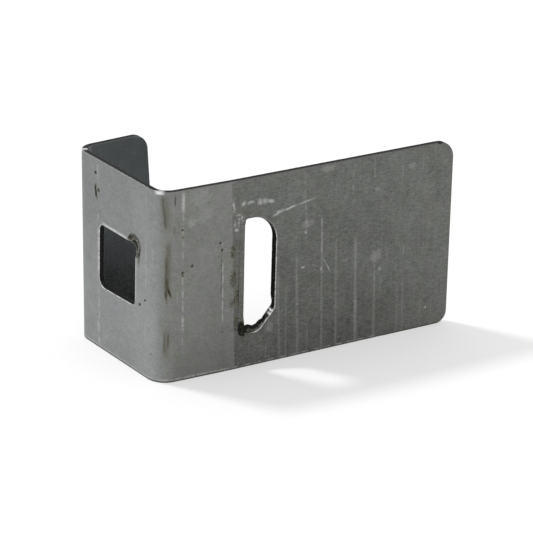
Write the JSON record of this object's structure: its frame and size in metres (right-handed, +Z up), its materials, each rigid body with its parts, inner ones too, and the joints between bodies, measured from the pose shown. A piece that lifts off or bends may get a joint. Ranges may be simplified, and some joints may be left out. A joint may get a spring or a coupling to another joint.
{
  "type": "stamped metal bracket",
  "caption": "J-shaped bracket folded from a strip of bare steel sheet, with a D-shaped slot in its long flange, a square hole in its web and a short return flange.",
  "frame": {"origin": "on the floor, under the middle of the part's footprint", "axes": "+Z up across the strip's width, +X towards the free end of the long flange, +Y from the long flange towards the return flange"},
  "size_m": [0.0872, 0.0404, 0.0503],
  "materials": {
    "steel": "bare mild steel sheet as stamped: dull grey, oily, with die lines, scuffs and smudges"
  },
  "bodies": {
    "root": {"bracket": "steel"}
  },
  "joints": []
}
